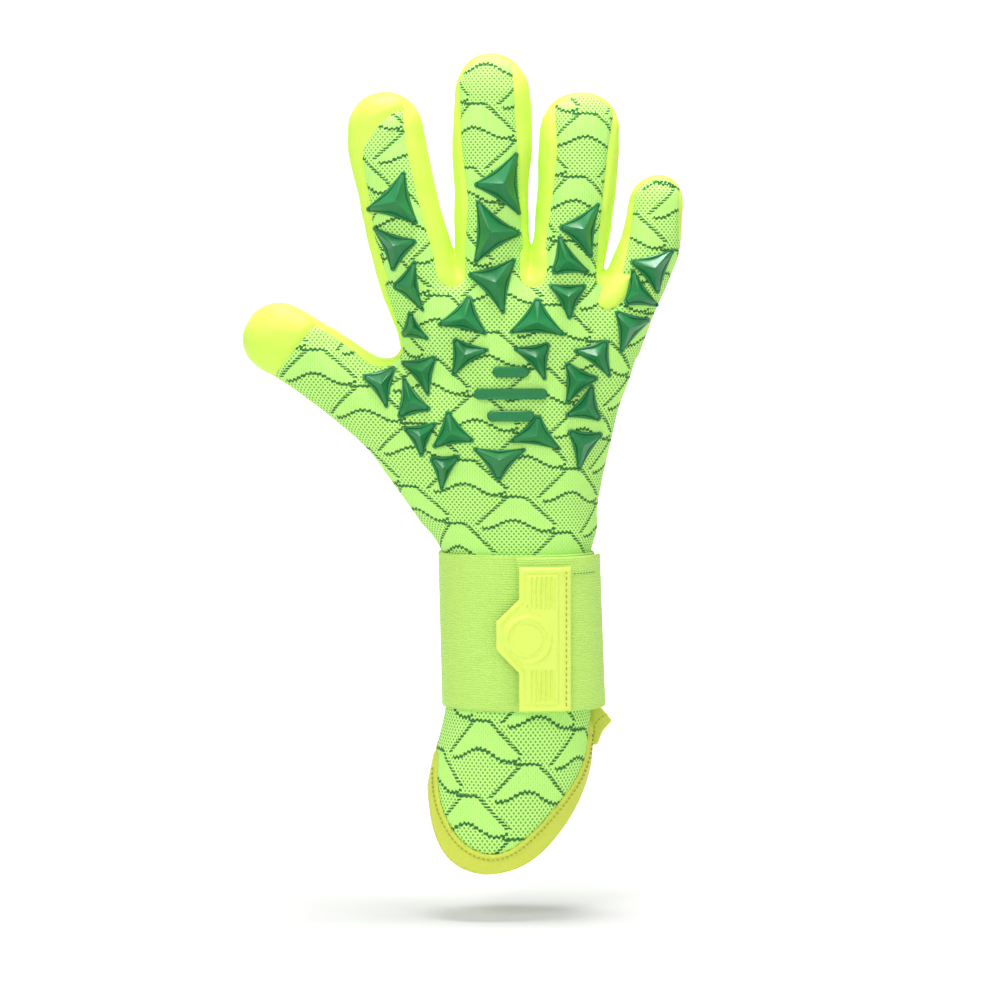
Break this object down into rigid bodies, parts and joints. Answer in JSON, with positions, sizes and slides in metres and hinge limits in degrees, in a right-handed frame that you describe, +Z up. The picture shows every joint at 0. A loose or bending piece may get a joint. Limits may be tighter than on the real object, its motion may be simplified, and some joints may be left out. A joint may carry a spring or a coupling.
{
  "type": "goalkeeper glove",
  "caption": "Right-hand goalkeeper glove with knitted back, raised rubber pads, latex foam palm, wrapped latex fingers and an elastic wrist strap with a rubber closing tab.",
  "frame": {"origin": "middle of the wrist opening, at the height of the cuff's edge on the palm side", "axes": "+Z up the hand to the fingertips, +X from the thumb's side to the little finger's side, +Y from the back of the hand to the palm"},
  "size_m": [0.1694, 0.0493, 0.3146],
  "materials": {
    "knit": "matt light green knit with open mesh",
    "latex": "matt yellow latex foam",
    "elastic": "ribbed elastic webbing",
    "hem": "smooth folded binding tape",
    "rubber": "satin moulded rubber",
    "tab_rubber": "satin moulded rubber",
    "hook_and_loop": "hook and loop tape"
  },
  "bodies": {
    "hand": {"backhand_knit": "knit", "palm_latex": "latex", "wrist_elastic": "elastic", "entry_binding": "hem", "strap_band": "elastic", "loop_patch": "hook_and_loop", "rib_upper": "rubber", "rib_middle": "rubber", "rib_lower": "rubber", "pad_back_03": "rubber", "pad_back_04": "rubber", "pad_back_05": "rubber", "pad_back_06": "rubber", "pad_back_07": "rubber", "pad_back_08": "rubber", "pad_back_09": "rubber", "pad_back_10": "rubber", "pad_back_11": "rubber", "pad_back_12": "rubber", "pad_back_13": "rubber", "pad_back_14": "rubber", "pad_back_15": "rubber", "pad_back_16": "rubber"},
    "knuckles": {"knuckle_knit": "knit", "knuckle_latex": "latex", "web_index_middle": "latex", "web_middle_ring": "latex", "web_ring_little": "latex", "pad_index_2": "rubber", "pad_index_3": "rubber", "pad_index_4": "rubber", "pad_middle_2": "rubber", "pad_middle_3": "rubber", "pad_ring_2": "rubber", "pad_ring_3": "rubber", "pad_little_2": "rubber", "pad_little_3": "rubber", "pad_back_01": "rubber", "pad_back_02": "rubber"},
    "index": {"index_knit": "knit", "index_latex": "latex", "pad_index_1": "rubber"},
    "middle": {"middle_knit": "knit", "middle_latex": "latex", "pad_middle_1": "rubber"},
    "ring": {"ring_knit": "knit", "ring_latex": "latex", "pad_ring_1": "rubber"},
    "little": {"little_knit": "knit", "little_latex": "latex", "pad_little_1": "rubber"},
    "thumb": {"thumb_knit": "knit", "thumb_latex": "latex"},
    "thumb_tip": {"thumb_tip_knit": "knit", "thumb_tip_latex": "latex"},
    "strap_flap": {"strap_flap": "elastic", "strap_tab": "tab_rubber", "hook_patch": "hook_and_loop"},
    "pull_loop": {"pull_loop": "hem"}
  },
  "joints": [
    {"name": "knuckle_fold", "type": "hinge", "parent": "hand", "child": "knuckles", "pos_m": [0, 0.0105, 0.1545], "axis": [-1, 0, 0], "range_deg": [0, 60], "stiffness_Nm_per_rad": 0.4},
    {"name": "index_curl", "type": "hinge", "parent": "knuckles", "child": "index", "pos_m": [-0.0453, 0.00877, 0.197], "axis": [-0.9763, 0, -0.2164], "range_deg": [0, 80], "stiffness_Nm_per_rad": 0.06},
    {"name": "middle_curl", "type": "hinge", "parent": "knuckles", "child": "middle", "pos_m": [-0.0114, 0.00883, 0.2045], "axis": [-1, 0, 0], "range_deg": [0, 80], "stiffness_Nm_per_rad": 0.06},
    {"name": "ring_curl", "type": "hinge", "parent": "knuckles", "child": "ring", "pos_m": [0.018, 0.00821, 0.1877], "axis": [-0.9945, 0, 0.1045], "range_deg": [0, 80], "stiffness_Nm_per_rad": 0.06},
    {"name": "little_curl", "type": "hinge", "parent": "knuckles", "child": "little", "pos_m": [0.046, 0.00761, 0.178], "axis": [-0.9563, 0, 0.2924], "range_deg": [0, 80], "stiffness_Nm_per_rad": 0.06},
    {"name": "thumb_swing", "type": "hinge", "parent": "hand", "child": "thumb", "pos_m": [-0.059, 0.007, 0.129], "axis": [-0.2079, 0, -0.9781], "range_deg": [0, 32], "stiffness_Nm_per_rad": 0.15},
    {"name": "thumb_curl", "type": "hinge", "parent": "thumb", "child": "thumb_tip", "pos_m": [-0.0765, 0.0085, 0.141], "axis": [-0.5373, 0, -0.8434], "range_deg": [0, 42], "stiffness_Nm_per_rad": 0.06},
    {"name": "strap_open", "type": "hinge", "parent": "hand", "child": "strap_flap", "pos_m": [0.0314, -0.0012, 0.0412], "axis": [0, 0, 1], "range_deg": [0, 150]},
    {"name": "loop_turn", "type": "hinge", "parent": "hand", "child": "pull_loop", "pos_m": [0.029, 0.0026, 0.0023], "axis": [0, 0, 1], "range_deg": [-35, 35]}
  ]
}
